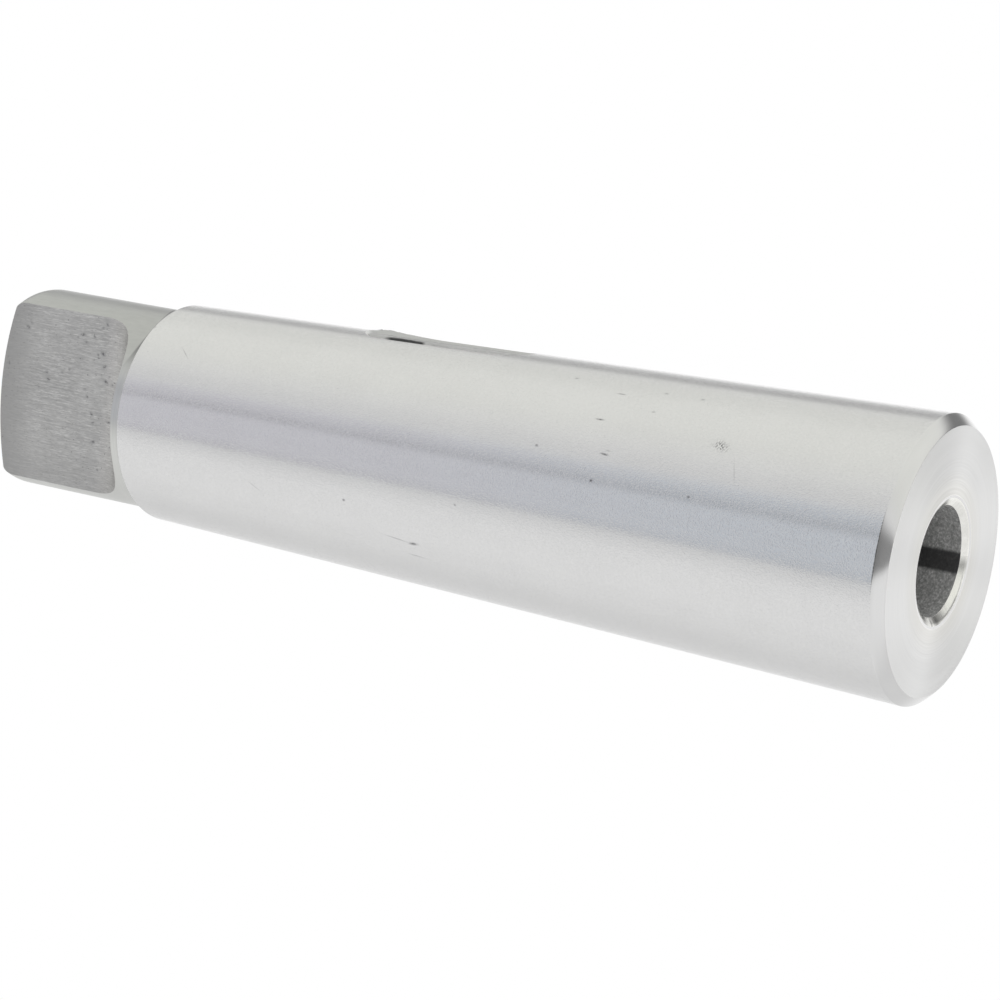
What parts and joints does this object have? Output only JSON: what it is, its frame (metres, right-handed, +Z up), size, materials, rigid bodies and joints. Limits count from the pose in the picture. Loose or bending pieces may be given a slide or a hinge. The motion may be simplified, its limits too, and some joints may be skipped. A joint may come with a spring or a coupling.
{
  "type": "morse taper sleeve",
  "caption": "Reducing sleeve for machine tools: ground outer taper with a flat-sided tang, a tapered socket in the big end and a cross slot for the ejecting drift.",
  "frame": {"origin": "centre of the flat big end face that it stands on", "axes": "+Z up the axis from the big end to the tang, Y along the drift slot, tang flats facing +X and -X"},
  "size_m": [0.0316, 0.0316, 0.124],
  "materials": {
    "ground_steel": "bare hardened steel, ground taper, turned face and neck, milled tang flats"
  },
  "bodies": {
    "root": {"taper_sleeve": "ground_steel"}
  },
  "joints": []
}
